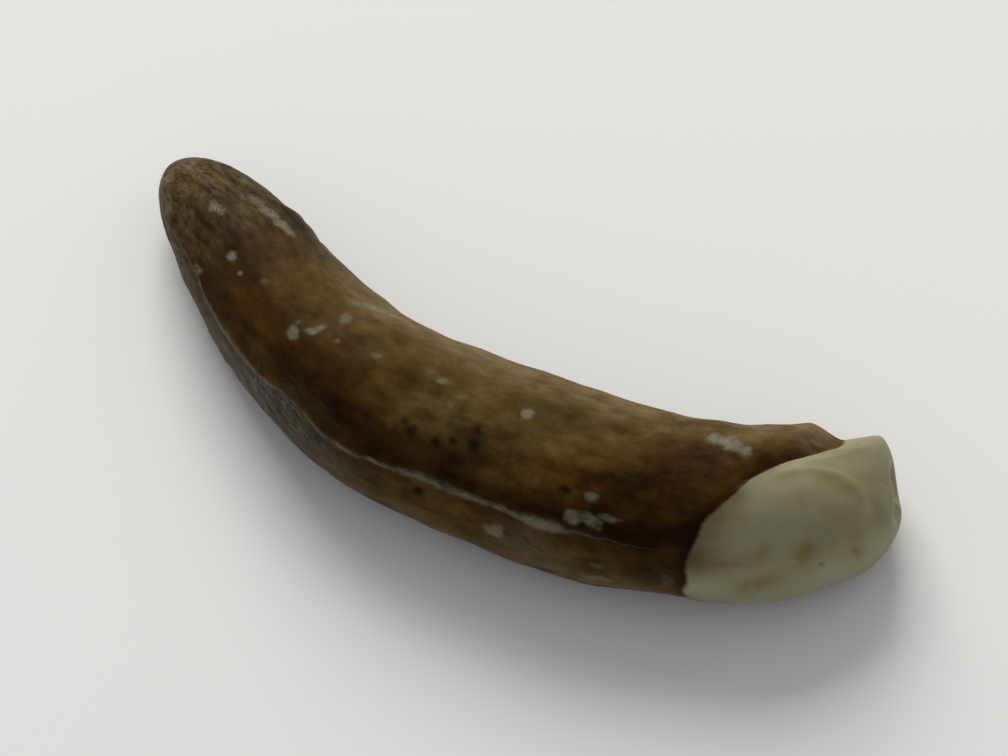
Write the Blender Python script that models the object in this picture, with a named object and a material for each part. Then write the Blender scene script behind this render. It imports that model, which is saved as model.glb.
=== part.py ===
"""An upper front tooth of a large kangaroo, pulled whole and lying on its side.

The long curved root and the short enamel crown grew together, so they are one closed solid.
The tooth is lofted: rings of points stand round a centre line that curves in plan from the
tip of the root to the biting edge. Sizes are in metres, with Z up. The tooth lies on the plane
z = 0 with its box centred on the origin. Angles run round the tooth in degrees: 0 faces the
outside of the curve (the lip side), 90 faces up, -90 faces down and 180 faces the inside of
the curve (the tongue side). A place along the tooth is its distance from the root's tip,
walked along the centre line.
"""

import math

import bmesh
import bpy
import numpy as np

MM = 0.001

# Centre line in plan, from the tip of the root to the biting edge: x, y.
CENTRE_LINE = np.array([
    (-15.95, 9.70),
    (-12.35, 4.25),
    (-8.20, -1.65),
    (-2.85, -5.10),
    (2.75, -7.45),
    (8.40, -8.60),
    (13.00, -8.00),
    (16.00, -7.72),
]) * MM

# Half widths in plan and half depth upright: place along the tooth, then size.
LIP_HALF_WIDTH = np.array([
    (0.0, 1.7), (3.2, 2.20), (5.0, 2.72), (7.5, 3.05), (11.5, 3.34), (15.0, 3.78),
    (18.5, 3.82), (25.5, 4.10), (30.0, 3.65), (33.0, 3.87), (36.5, 3.19), (39.7, 1.84),
]) * MM
TONGUE_HALF_WIDTH = np.array([
    (0.0, 1.75), (3.2, 2.32), (5.8, 3.10), (8.3, 3.15), (11.5, 3.60), (18.0, 3.88),
    (24.0, 4.25), (29.0, 4.04), (32.0, 4.12), (35.0, 3.76), (37.2, 3.64), (39.7, 3.60),
]) * MM
HALF_DEPTH = np.array([
    (0.0, 2.1), (4.0, 2.60), (10.0, 3.10), (18.0, 3.45), (24.0, 3.50), (31.0, 3.45),
    (36.0, 2.90), (39.7, 2.20),
]) * MM
SECTION_POWER = 2.15
TIP_ROUNDING = 3.3 * MM
EDGE_ROUNDING_LIP = 2.2 * MM
EDGE_ROUNDING_SIDE = 1.80 * MM
EDGE_ROUNDING_TONGUE = 0.70 * MM

# The enamel band on the lip side: place along the tooth, then half its spread in degrees.
BAND_HALF_ANGLE = np.array([
    (0.0, 12.0), (3.5, 24.0), (6.4, 31.0), (8.0, 26.5), (12.6, 28.5), (13.8, 33.0), (15.5, 26.5),
    (17.2, 26.5), (19.0, 30.5), (25.0, 33.5), (30.0, 32.0), (40.0, 32.0),
]) * (MM, 1.0)
RIDGE_HEIGHT = 0.11 * MM
RIDGE_HALF_BREADTH = 0.17 * MM
VALLEY_DEPTH = 0.14 * MM
VALLEY_OFFSET = 0.45 * MM
VALLEY_HALF_BREADTH = 0.32 * MM
BAND_DISH = 0.06 * MM
BAND_DISH_SHARE = 0.6
RIDGE_START = 4.5 * MM
RIDGE_END = 30.5 * MM
RIDGE_FADE = 3.0 * MM

# The enamel's edge: angle round the tooth, then place along it, and the step up or down there.
ENAMEL_EDGE = np.array([
    (0.0, 30.6), (30.0, 30.7), (55.0, 31.1), (76.0, 32.0), (96.0, 33.55), (108.0, 34.7),
    (118.0, 35.75), (130.0, 36.5), (146.0, 37.25), (180.0, 37.25),
]) * (1.0, MM)
ENAMEL_STEP = np.array([
    (0.0, 0.06), (40.0, 0.08), (80.0, 0.12), (110.0, 0.09), (180.0, 0.07),
]) * (1.0, MM)
ENAMEL_STEP_RUN = 0.14 * MM
SCALLOP = 0.06 * MM
SCALLOPS_ROUND = 11

# On the tongue side the root ends in a swollen lip that falls away to the enamel, and the
# crown rises again to its corner.
TONGUE_SIDE_START = 75.0
TONGUE_SIDE_FULL = 145.0
ROOT_LIP_HEIGHT = 0.14 * MM
ROOT_LIP_OFFSET = 0.85 * MM
ROOT_LIP_HALF_LENGTH = 1.0 * MM
ROOT_DROP = 0.70 * MM
ROOT_DROP_LENGTH = 1.25 * MM
CORNER_HEIGHT = 0.34 * MM
CORNER_LENGTH = 1.5 * MM

# A shallow curved groove in each side face of the crown, with a low rim outside it. Its
# distances from the middle are shares of the half length and half breadth; it fades out
# towards the root and the lip side.
GROOVE_ALONG = 35.2 * MM
GROOVE_ANGLE = 55.0
GROOVE_HALF_LENGTH = 2.6 * MM
GROOVE_HALF_BREADTH = 2.15 * MM
GROOVE_DEPTH = 0.07 * MM
GROOVE_DISTANCE = 0.78
GROOVE_HALF_SPREAD = 0.22
RIM_HEIGHT = 0.035 * MM
RIM_DISTANCE = 1.02
RIM_HALF_SPREAD = 0.11
GROOVE_OPENS_TOWARDS = (0.8, 0.6)
GROOVE_FADE_START = -0.15
GROOVE_FADE_LENGTH = 0.5

# Dents, each at a place along the tooth and an angle: half length, half breadth, depth.
DENTS = (
    (5.3 * MM, 158.0, 0.45 * MM, 0.8 * MM, 0.12 * MM),
    (6.6 * MM, 166.0, 0.40 * MM, 0.8 * MM, 0.10 * MM),
    (7.6 * MM, 160.0, 0.35 * MM, 0.8 * MM, 0.10 * MM),
    (2.6 * MM, 60.0, 0.7 * MM, 0.5 * MM, 0.10 * MM),
    (3.9 * MM, 48.0, 0.8 * MM, 0.4 * MM, 0.10 * MM),
    (13.6 * MM, 48.0, 0.6 * MM, 0.6 * MM, 0.09 * MM),
    (19.4 * MM, 66.0, 0.5 * MM, 0.5 * MM, 0.10 * MM),
    (21.6 * MM, 72.0, 0.6 * MM, 0.5 * MM, 0.12 * MM),
    (33.0 * MM, 150.0, 0.9 * MM, 0.7 * MM, 0.10 * MM),
    (9.0 * MM, -70.0, 0.9 * MM, 0.8 * MM, 0.12 * MM),
    (25.0 * MM, -58.0, 0.8 * MM, 0.7 * MM, 0.10 * MM),
    (29.0 * MM, -140.0, 1.0 * MM, 0.8 * MM, 0.12 * MM),
)

# Slow swells over the whole root: height, wave length along, waves round, phase.
SWELLS = (
    (0.050 * MM, 9.0 * MM, 2, 1.1),
    (0.035 * MM, 5.3 * MM, 3, 2.0),
    (0.020 * MM, 3.1 * MM, 5, 0.4),
)

# Chips out of the biting edge: the middle of the ball that bites, then its radius.
CHIPS = (
    (np.array((16.52, -6.85, 3.30)) * MM, 1.14 * MM),
    (np.array((16.46, -8.30, 3.30)) * MM, 0.92 * MM),
)

# Places along the tooth where the underside is worn flat and touches what the tooth lies on.
FLAT_SPOTS = (6.8 * MM, 18.6 * MM, 32.0 * MM)
FLAT_HALF_LENGTH = 1.5 * MM
UNDERSIDE_LIFT = 0.10 * MM
FLAT_HEIGHT = 0.04 * MM
UNDERSIDE_HALF_ANGLE = 24.0
CROWN_RISE = 0.12 * MM
CROWN_RISE_START = 29.0 * MM
CROWN_RISE_LENGTH = 4.0 * MM

# The grid of points: columns round the tooth and rings along it.
BAND_COLUMNS = 5
VALLEY_COLUMNS = 2
VALLEY_COLUMN_ANGLE = 4.5
SIDE_COLUMNS = 25
TIP_RINGS = 7
ROOT_RINGS = 44
ROOT_RING_CROWDING = 1.25
CROWN_RINGS = 14
EDGE_RINGS = 8
LINE_SAMPLES = 2000
GRID_PASSES = 6

# Finish of the root and of the crown.
ROOT_COLOUR = (0.105, 0.058, 0.026, 1.0)
ROOT_ROUGHNESS = 0.55
ENAMEL_COLOUR = (0.52, 0.48, 0.34, 1.0)
ENAMEL_ROUGHNESS = 0.3
SHARP_ANGLE = math.radians(50.0)


def spline(table, at):
    """Natural cubic spline through a table of places and values, read at the given places."""
    places = table[:, 0]
    values = table[:, 1]
    steps = np.diff(places)
    slopes = np.diff(values) / steps
    count = len(places)
    matrix = np.eye(count)
    right = np.zeros(count)
    for i in range(1, count - 1):
        matrix[i, i - 1 : i + 2] = (steps[i - 1], 2.0 * (steps[i - 1] + steps[i]), steps[i])
        right[i] = 6.0 * (slopes[i] - slopes[i - 1])
    bend = np.linalg.solve(matrix, right)
    cell = np.clip(np.searchsorted(places, at) - 1, 0, count - 2)
    before = (places[cell + 1] - at) / steps[cell]
    after = 1.0 - before
    straight = before * values[cell] + after * values[cell + 1]
    curved = (before**3 - before) * bend[cell] + (after**3 - after) * bend[cell + 1]
    return straight + curved * steps[cell] ** 2 / 6.0


def bump(distance):
    """A round hump, 1 in the middle and 0.37 at a distance of 1."""
    return np.exp(-(distance**2))


def smooth_step(value):
    value = np.clip(value, 0.0, 1.0)
    return value * value * (3.0 - 2.0 * value)


def walk_centre_line():
    """Places along the centre line, with the point in plan and the direction at each."""
    chords = np.linalg.norm(np.diff(CENTRE_LINE, axis=0), axis=1)
    knots = np.concatenate(([0.0], np.cumsum(chords)))
    even = np.linspace(0.0, knots[-1], LINE_SAMPLES)
    across = spline(np.column_stack((knots, CENTRE_LINE[:, 0])), even)
    along = spline(np.column_stack((knots, CENTRE_LINE[:, 1])), even)
    points = np.column_stack((across, along))
    walked = np.concatenate(([0.0], np.cumsum(np.linalg.norm(np.diff(points, axis=0), axis=1))))
    ways = np.gradient(points, walked, axis=0)
    ways /= np.linalg.norm(ways, axis=1, keepdims=True)
    return walked, points, ways


WALKED, LINE_POINTS, LINE_WAYS = walk_centre_line()
LENGTH = WALKED[-1]


def read_line(samples, along):
    """The centre line's points or directions at places along it."""
    return np.stack([np.interp(along, WALKED, samples[:, i]) for i in (0, 1)], -1)


def enamel_edge(angle):
    """Place along the tooth where the enamel starts, by angle."""
    scallop = SCALLOP * np.sin(np.radians(angle) * SCALLOPS_ROUND)
    return spline(ENAMEL_EDGE, np.abs(angle)) + scallop


def edge_rounding(angle):
    """Length over which the crown rounds off to the biting edge, by angle."""
    facing = np.cos(np.radians(angle))
    lip = np.maximum(facing, 0.0) ** 2
    tongue = np.maximum(-facing, 0.0)
    side = 1.0 - lip - tongue
    return side * EDGE_ROUNDING_SIDE + lip * EDGE_ROUNDING_LIP + tongue * EDGE_ROUNDING_TONGUE


def end_share(along, angle):
    """How much of its full size a ring keeps: both ends close in quarter ellipses."""
    from_tip = np.clip(1.0 - along / TIP_ROUNDING, 0.0, 1.0)
    from_edge = np.clip(1.0 - (LENGTH - along) / edge_rounding(angle), 0.0, 1.0)
    return np.sqrt(1.0 - from_tip**2) * np.sqrt(1.0 - from_edge**2)


def section_radius(along, angle):
    """Distance out to the plain rounded section, before the ends close it and relief is added."""
    turn = np.radians(angle)
    lip = spline(LIP_HALF_WIDTH, along)
    tongue = spline(TONGUE_HALF_WIDTH, along)
    width = np.where(np.cos(turn) > 0.0, lip, tongue)
    lift = np.full(np.shape(along), UNDERSIDE_LIFT)
    for spot in FLAT_SPOTS:
        lift = lift * (1.0 - bump((along - spot) / FLAT_HALF_LENGTH))
    depth = spline(HALF_DEPTH, along) - np.where(np.sin(turn) < 0.0, lift, 0.0)
    round_sum = np.abs(np.cos(turn) / width) ** SECTION_POWER
    round_sum = round_sum + np.abs(np.sin(turn) / depth) ** SECTION_POWER
    return round_sum ** (-1.0 / SECTION_POWER)


def band_relief(along, angle, radius):
    """The band's raised edge, the valley beside it and the band's slight hollow."""
    half_band = spline(BAND_HALF_ANGLE, along)
    beside = np.radians(np.abs(angle) - half_band) * radius
    strength = smooth_step((along - RIDGE_START) / RIDGE_FADE)
    strength = strength * smooth_step((RIDGE_END - along) / RIDGE_FADE)
    ridge = RIDGE_HEIGHT * bump(beside / RIDGE_HALF_BREADTH)
    valley = VALLEY_DEPTH * bump((beside - VALLEY_OFFSET) / VALLEY_HALF_BREADTH)
    hollow = BAND_DISH * bump(angle / (BAND_DISH_SHARE * half_band))
    return strength * (ridge - valley - hollow)


def crown_relief(along, angle, radius):
    """The enamel's step, the root's lip before it and the groove in each side of the crown."""
    past_edge = along - enamel_edge(angle)
    on_enamel = smooth_step(past_edge / ENAMEL_STEP_RUN)
    height = spline(ENAMEL_STEP, np.abs(angle)) * on_enamel
    round_back = (np.abs(angle) - TONGUE_SIDE_START) / (TONGUE_SIDE_FULL - TONGUE_SIDE_START)
    tongue_side = smooth_step(round_back)
    lip = ROOT_LIP_HEIGHT * bump((past_edge + ROOT_LIP_OFFSET) / ROOT_LIP_HALF_LENGTH)
    drop = ROOT_DROP * smooth_step(1.0 + past_edge / ROOT_DROP_LENGTH)
    corner = CORNER_HEIGHT * smooth_step(past_edge / CORNER_LENGTH)
    height = height + tongue_side * (lip - drop + corner)
    ahead = (along - GROOVE_ALONG) / GROOVE_HALF_LENGTH
    aside = np.radians(np.abs(angle) - GROOVE_ANGLE) * radius / GROOVE_HALF_BREADTH
    distance = np.hypot(ahead, aside)
    rim = RIM_HEIGHT * bump((distance - RIM_DISTANCE) / RIM_HALF_SPREAD)
    groove = GROOVE_DEPTH * bump((distance - GROOVE_DISTANCE) / GROOVE_HALF_SPREAD)
    facing = GROOVE_OPENS_TOWARDS[0] * ahead + GROOVE_OPENS_TOWARDS[1] * aside
    kept = smooth_step((facing - GROOVE_FADE_START) / GROOVE_FADE_LENGTH)
    return height + (rim - groove) * kept * on_enamel


def root_relief(along, angle, radius):
    """Slow swells and dents over the root, fading out on the underside that it lies on."""
    turn = np.radians(angle)
    height = np.zeros(np.shape(along))
    for swell, wave, waves_round, phase in SWELLS:
        ripple = np.sin(2.0 * math.pi * along / wave + phase)
        height = height + swell * ripple * np.sin(waves_round * turn + 2.0 * phase)
    for place, facing, half_length, half_breadth, depth in DENTS:
        aside = np.radians((angle - facing + 180.0) % 360.0 - 180.0) * radius
        height = height - depth * bump(np.hypot((along - place) / half_length, aside / half_breadth))
    on_root = 1.0 - smooth_step((along - enamel_edge(angle)) / ENAMEL_STEP_RUN)
    underside = bump((angle + 90.0) / UNDERSIDE_HALF_ANGLE)
    return height * on_root * (1.0 - underside)


def bite_chips(points):
    """Moves points that lie inside a chip's ball out to its surface."""
    for middle, radius in CHIPS:
        away = points - middle
        far = np.linalg.norm(away, axis=-1, keepdims=True)
        points = np.where(far < radius, middle + away * (radius / far), points)
    return points


def surface_point(along, angle):
    """Points of the tooth's surface at places along it and angles round it."""
    kept = end_share(along, angle)
    radius = section_radius(along, angle)
    height = band_relief(along, angle, radius)
    height = height + crown_relief(along, angle, radius) + root_relief(along, angle, radius)
    radius = (radius + height) * kept
    turn = np.radians(angle)
    way = read_line(LINE_WAYS, along)
    lip_way = np.stack([way[..., 1], -way[..., 0]], -1)
    plan = read_line(LINE_POINTS, along) + lip_way * (radius * np.cos(turn))[..., None]
    rise = CROWN_RISE * smooth_step((along - CROWN_RISE_START) / CROWN_RISE_LENGTH)
    upright = spline(HALF_DEPTH, along) + rise + radius * np.sin(turn)
    upright = np.where(upright < FLAT_HEIGHT, FLAT_HEIGHT, upright)
    return bite_chips(np.concatenate([plan, upright[..., None]], -1))


def column_angles(places):
    """Angles round the tooth for a grid of places, rings first, with a column on each ridge."""
    ridge = spline(BAND_HALF_ANGLE, places)
    count = places.shape[1]
    side_start = BAND_COLUMNS + VALLEY_COLUMNS
    angles = np.empty_like(places)
    for column in range(count):
        step = min(column, count - column)
        edge = ridge[:, column]
        past_valley = edge + VALLEY_COLUMN_ANGLE * VALLEY_COLUMNS
        if step <= BAND_COLUMNS:
            angle = edge * step / BAND_COLUMNS
        elif step <= side_start:
            angle = edge + VALLEY_COLUMN_ANGLE * (step - BAND_COLUMNS)
        else:
            angle = past_valley + (180.0 - past_valley) * (step - side_start) / SIDE_COLUMNS
        angles[:, column] = angle if column == step else -angle
    return angles


def ring_places(angles):
    """Places along the tooth for a grid of angles; rings slant to follow the enamel's edge."""
    edge = enamel_edge(angles)
    last = edge_rounding(angles)
    quarter = 0.5 * math.pi
    rows = []
    for i in range(1, TIP_RINGS + 1):
        rows.append(np.full(angles.shape[1], TIP_ROUNDING * (1.0 - math.cos(quarter * i / TIP_RINGS))))
    for i in range(1, ROOT_RINGS + 1):
        reached = 1.0 - (1.0 - i / ROOT_RINGS) ** ROOT_RING_CROWDING
        rows.append(TIP_ROUNDING + (edge[len(rows)] - TIP_ROUNDING) * reached)
    for i in range(CROWN_RINGS + 1):
        rim = edge[len(rows)] + ENAMEL_STEP_RUN
        rows.append(rim + (LENGTH - last[len(rows)] - rim) * i / CROWN_RINGS)
    for i in range(1, EDGE_RINGS):
        rows.append(LENGTH - last[len(rows)] * (1.0 - math.sin(quarter * i / EDGE_RINGS)))
    return np.array(rows)


def tooth_grid():
    """Places and angles of the rings' points: each depends on the other, so a few passes settle them."""
    rings = TIP_RINGS + ROOT_RINGS + CROWN_RINGS + EDGE_RINGS
    columns = 2 * (BAND_COLUMNS + VALLEY_COLUMNS + SIDE_COLUMNS)
    places = np.full((rings, columns), 0.5 * LENGTH)
    for _ in range(GRID_PASSES):
        angles = column_angles(places)
        places = ring_places(angles)
    return places, angles


def tooth_mesh(name):
    """The closed solid: rings bridged by quads and closed by a fan at each end."""
    places, angles = tooth_grid()
    points = surface_point(places, angles)
    tip = surface_point(np.array(0.0), np.array(0.0))
    edge = surface_point(np.array(LENGTH), np.array(0.0))
    low = points.min(axis=(0, 1))
    high = points.max(axis=(0, 1))
    origin = np.array([0.5 * (low[0] + high[0]), 0.5 * (low[1] + high[1]), low[2]])
    made = bmesh.new()
    rings = [[made.verts.new(point - origin) for point in ring] for ring in points]
    count = len(rings[0])
    edge_ring = TIP_RINGS + ROOT_RINGS - 1
    for ring, (near, far) in enumerate(zip(rings, rings[1:])):
        for i in range(count):
            j = (i + 1) % count
            face = made.faces.new((near[i], near[j], far[j], far[i]))
            face.material_index = int(ring >= edge_ring)
    for ring, end, finish in ((rings[0], tip, 0), (rings[-1], edge, 1)):
        pole = made.verts.new(end - origin)
        for i in range(count):
            face = made.faces.new((ring[i], ring[(i + 1) % count], pole))
            face.material_index = finish
    bmesh.ops.recalc_face_normals(made, faces=made.faces)
    bmesh.ops.triangulate(made, faces=made.faces)
    mesh = bpy.data.meshes.new(name)
    made.to_mesh(mesh)
    made.free()
    return mesh


def plain_material(name, colour, roughness):
    material = bpy.data.materials.new(name)
    material.use_nodes = True
    shader = material.node_tree.nodes["Principled BSDF"]
    shader.inputs["Base Color"].default_value = colour
    shader.inputs["Roughness"].default_value = roughness
    shader.inputs["Metallic"].default_value = 0.0
    return material


def main():
    for item in list(bpy.data.objects):
        bpy.data.objects.remove(item, do_unlink=True)
    mesh = tooth_mesh("tooth")
    mesh.materials.append(plain_material("root", ROOT_COLOUR, ROOT_ROUGHNESS))
    mesh.materials.append(plain_material("enamel", ENAMEL_COLOUR, ENAMEL_ROUGHNESS))
    mesh.shade_smooth()
    mesh.set_sharp_from_angle(angle=SHARP_ANGLE)
    tooth = bpy.data.objects.new("tooth", mesh)
    bpy.context.scene.collection.objects.link(tooth)


main()
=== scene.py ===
"""The looks of a large kangaroo's front tooth: fine surface, material, floor, light and camera.

The fine surface is lofted like the solid, from the same centre line, widths and edges, with many
more rings and columns. It adds what is too fine for the solid: fibres and pits in the root, the
wavering ridge beside the enamel band, chalky crusts, and the worn edge of the crown. Marks that
are only colour are fields on the surface's points, which the material reads and breaks up. Some
of them are painted light: shade beside the enamel band and along the enamel's edge, a sheen on
the band, and lighter rims where the lamp or the floor lights the tooth.

Lengths are in metres, those in tables of marks and zones in millimetres, and angles in degrees.
"Along" is a place on the centre line, measured from the tip of the root. Angles run round the
tooth: 0 faces the outside of the curve (the lip side), 90 faces up, -90 faces down and 180 faces
the inside of the curve (the tongue side).
"""

import itertools
import math

import bpy
import numpy as np
from mathutils import Matrix, Vector


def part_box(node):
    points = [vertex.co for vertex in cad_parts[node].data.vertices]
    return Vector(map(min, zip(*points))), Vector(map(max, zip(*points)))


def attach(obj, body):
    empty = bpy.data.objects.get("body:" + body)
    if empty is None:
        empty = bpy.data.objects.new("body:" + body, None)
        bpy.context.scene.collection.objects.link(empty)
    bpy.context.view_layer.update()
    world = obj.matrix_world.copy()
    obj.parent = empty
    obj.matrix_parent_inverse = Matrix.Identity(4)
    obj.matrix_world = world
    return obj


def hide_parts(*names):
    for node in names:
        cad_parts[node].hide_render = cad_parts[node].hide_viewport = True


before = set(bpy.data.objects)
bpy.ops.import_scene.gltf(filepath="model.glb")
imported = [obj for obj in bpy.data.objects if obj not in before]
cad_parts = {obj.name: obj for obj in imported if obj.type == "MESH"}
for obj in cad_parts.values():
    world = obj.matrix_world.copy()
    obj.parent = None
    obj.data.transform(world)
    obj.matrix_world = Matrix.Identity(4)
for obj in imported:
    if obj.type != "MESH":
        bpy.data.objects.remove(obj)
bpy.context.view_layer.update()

MM = 0.001

# Centre line in plan, from the tip of the root to the biting edge: x, y.
CENTRE_LINE = np.array([
    (-15.95, 9.7), (-12.35, 4.25), (-8.2, -1.65), (-2.85, -5.1), (2.75, -7.45), (8.4, -8.6),
    (13, -8), (16, -7.72),
]) * MM
LINE_SAMPLES = 2000

# Half widths in plan and half depth upright: place along the tooth, then size.
LIP_HALF_WIDTH = np.array([
    (0, 1.7), (3.2, 2.2), (5, 2.72), (7.5, 3.05), (11.5, 3.34), (15, 3.78), (18.5, 3.82),
    (25.5, 4.1), (30, 3.65), (33, 3.87), (36.5, 3.19), (39.7, 1.84),
]) * MM
TONGUE_HALF_WIDTH = np.array([
    (0, 1.75), (3.2, 2.32), (5.8, 3.1), (8.3, 3.15), (11.5, 3.6), (18, 3.88), (24, 4.25),
    (29, 4.04), (32, 4.12), (35, 3.76), (37.2, 3.64), (39.7, 3.6),
]) * MM
HALF_DEPTH = np.array([
    (0, 2.1), (4, 2.6), (10, 3.1), (18, 3.45), (24, 3.5), (31, 3.45), (36, 2.9), (39.7, 2.2),
]) * MM
SECTION_POWER = 2.15
TIP_ROUNDING = 3.3 * MM
EDGE_ROUNDING_LIP = 2.2 * MM
EDGE_ROUNDING_SIDE = 1.80 * MM
EDGE_ROUNDING_TONGUE = 0.70 * MM

# The enamel band on the lip side: place along the tooth, then half its spread in degrees.
BAND_HALF_ANGLE = np.array([
    (0, 12), (3.5, 24), (6.4, 31), (8, 26.5), (12.6, 28.5), (13.8, 33), (15.5, 26.5), (17.2, 26.5),
    (19, 30.5), (25, 33.5), (30, 32), (40, 32),
]) * (MM, 1.0)
# Waverings of the band's edge: wave length, height in degrees, seed.
BAND_WAVERS = ((1.1 * MM, 1.1, 30), (0.42 * MM, 0.6, 31))
RIDGE_HEIGHT = 0.11 * MM
RIDGE_HALF_BREADTH = 0.17 * MM
RIDGE_BEAD_LENGTH = 0.7 * MM
RIDGE_BEAD_SHARE = 0.55
RIDGE_BEAD_START = 0.37
RIDGE_BEAD_SEED = 50
VALLEY_DEPTH = 0.14 * MM
VALLEY_OFFSET = 0.45 * MM
VALLEY_HALF_BREADTH = 0.32 * MM
BAND_DISH = 0.06 * MM
BAND_DISH_SHARE = 0.6
RIDGE_START = 4.5 * MM
RIDGE_END = 30.5 * MM
RIDGE_FADE = 3.0 * MM

# The enamel's edge: angle round the tooth, then place along it, and the step up or down there.
ENAMEL_EDGE = np.array([
    (0, 30.6), (30, 30.7), (55, 31.1), (76, 32), (96, 33.55), (108, 34.7), (118, 35.75),
    (130, 36.5), (146, 37.25), (180, 37.25),
]) * (1.0, MM)
ENAMEL_STEP = np.array([
    (0, 0.06), (40, 0.08), (80, 0.12), (110, 0.09), (180, 0.07),
]) * (1.0, MM)
ENAMEL_STEP_RUN = 0.14 * MM
ENAMEL_ROUNDING = 0.50 * MM
ENAMEL_ROLL_HEIGHT = 0.03 * MM
ENAMEL_ROLL_OFFSET = 0.45 * MM
ENAMEL_ROLL_HALF_LENGTH = 0.35 * MM
SCALLOP = 0.06 * MM
SCALLOPS_ROUND = 11
EDGE_WAVER = 0.045 * MM
EDGE_WAVERS_ROUND = 6.0
EDGE_WAVER_SEED = 40

# The root's end on the tongue side, and the crown's corner beyond it.
TONGUE_SIDE_START = 75.0
TONGUE_SIDE_FULL = 145.0
ROOT_LIP_HEIGHT = 0.14 * MM
ROOT_LIP_OFFSET = 0.85 * MM
ROOT_LIP_HALF_LENGTH = 1.0 * MM
ROOT_DROP = 0.70 * MM
ROOT_DROP_LENGTH = 1.25 * MM
CORNER_HEIGHT = 0.34 * MM
CORNER_LENGTH = 1.5 * MM

# The curved groove in each side face of the crown, and the low rim outside it.
GROOVE_ALONG = 35.2 * MM
GROOVE_ANGLE = 55.0
GROOVE_HALF_LENGTH = 2.6 * MM
GROOVE_HALF_BREADTH = 2.15 * MM
GROOVE_DEPTH = 0.07 * MM
GROOVE_DISTANCE = 0.78
GROOVE_HALF_SPREAD = 0.22
RIM_HEIGHT = 0.035 * MM
RIM_DISTANCE = 1.02
RIM_HALF_SPREAD = 0.11
GROOVE_OPENS_TOWARDS = (0.8, 0.6)
GROOVE_FADE_START = -0.15
GROOVE_FADE_LENGTH = 0.5

# Dents: along and angle, half length and half breadth, depth.
DENTS = (
    (5.3, 158, 0.45, 0.8, 0.12), (6.6, 166, 0.4, 0.8, 0.1), (7.6, 160, 0.35, 0.8, 0.1),
    (2.6, 60, 0.7, 0.5, 0.1), (3.9, 48, 0.8, 0.4, 0.1), (13.6, 48, 0.6, 0.6, 0.09),
    (19.4, 66, 0.5, 0.5, 0.1), (21.6, 72, 0.6, 0.5, 0.12), (33, 150, 0.9, 0.7, 0.1),
    (9, -70, 0.9, 0.8, 0.12), (25, -58, 0.8, 0.7, 0.1), (29, -140, 1, 0.8, 0.12),
)

# Slow swells over the whole root: height, wave length along, waves round, phase.
SWELLS = (
    (0.050 * MM, 9.0 * MM, 2, 1.1),
    (0.035 * MM, 5.3 * MM, 3, 2.0),
    (0.020 * MM, 3.1 * MM, 5, 0.4),
)

# Chips out of the biting edge: the middle of the ball that bites, then its radius.
CHIPS = (
    (np.array((16.52, -6.85, 3.30)) * MM, 1.14 * MM),
    (np.array((16.46, -8.30, 3.30)) * MM, 0.92 * MM),
)
CHIP_SOFTNESS = 0.30 * MM

# Where the underside is worn flat and touches what the tooth lies on.
FLAT_SPOTS = (6.8 * MM, 18.6 * MM, 32.0 * MM)
FLAT_HALF_LENGTH = 1.5 * MM
UNDERSIDE_LIFT = 0.10 * MM
FLAT_HEIGHT = 0.04 * MM
UNDERSIDE_HALF_ANGLE = 24.0
CROWN_RISE = 0.12 * MM
CROWN_RISE_START = 29.0 * MM
CROWN_RISE_LENGTH = 4.0 * MM

# Half breadth of the pale line on the band's edge, by place along the tooth.
RIDGE_LINE = np.array([
    (0, 0.03), (5.5, 0.04), (8, 0.08), (9.6, 0.14), (11.4, 0.13), (13, 0.06), (14.4, 0.035),
    (15, 0.09), (15.5, 0.12), (15.9, 0.05), (16.4, 0.12), (16.9, 0.16), (17.5, 0.1), (18.4, 0.11),
    (19.6, 0.21), (20.6, 0.22), (21.7, 0.17), (23, 0.12), (24.1, 0.14), (24.8, 0.26), (25.6, 0.26),
    (26.3, 0.07), (27.5, 0.05), (29, 0.03), (40, 0.02),
]) * MM
RIDGE_LINE_OFFSET_SHARE = 0.75
RIDGE_LINE_END = 27.0 * MM
RIDGE_LINE_FADE = 4.0 * MM

# Fine relief: height, wave length along and across, seed.
NOISE_LAYERS = 2
FIBRES = (0.004 * MM, 4.0 * MM, 0.40 * MM, 70)
GRAIN = (0.010 * MM, 0.75 * MM, 0.60 * MM, 80)
LUMPS = (0.030 * MM, 2.6 * MM, 1.5 * MM, 90)
PITS = (0.022 * MM, 0.75 * MM, 0.22 * MM, 60)
PIT_THRESHOLD = 0.10
PIT_SOFTNESS = 0.55
TIP_ZONE_END = 9.5 * MM
TIP_ZONE_FADE = 5.0 * MM
TIP_FIBRE_SHARE = 3.0
ENAMEL_UNEVEN = (0.020 * MM, 2.4 * MM, 2.0 * MM, 110)
ENAMEL_GRAIN = (0.005 * MM, 0.5 * MM, 0.5 * MM, 120)
CRUST_HEIGHT = 0.005 * MM
CRUST_GRAIN = (0.5, 0.30 * MM, 0.30 * MM, 100)
CRUST_FILLING = 0.5
UNDERSIDE_WEAR = 0.7

# The fine surface's columns and rings.
BAND_COLUMNS = 22
VALLEY_COLUMNS = 7
VALLEY_SPREAD = 9.0
SIDE_COLUMNS = 96
TIP_RINGS = 26
ROOT_RINGS = 270
STEP_RINGS = 6
STEP_RINGS_LENGTH = 0.40 * MM
CROWN_RINGS = 62
EDGE_RINGS = 30
GRID_PASSES = 6

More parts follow.
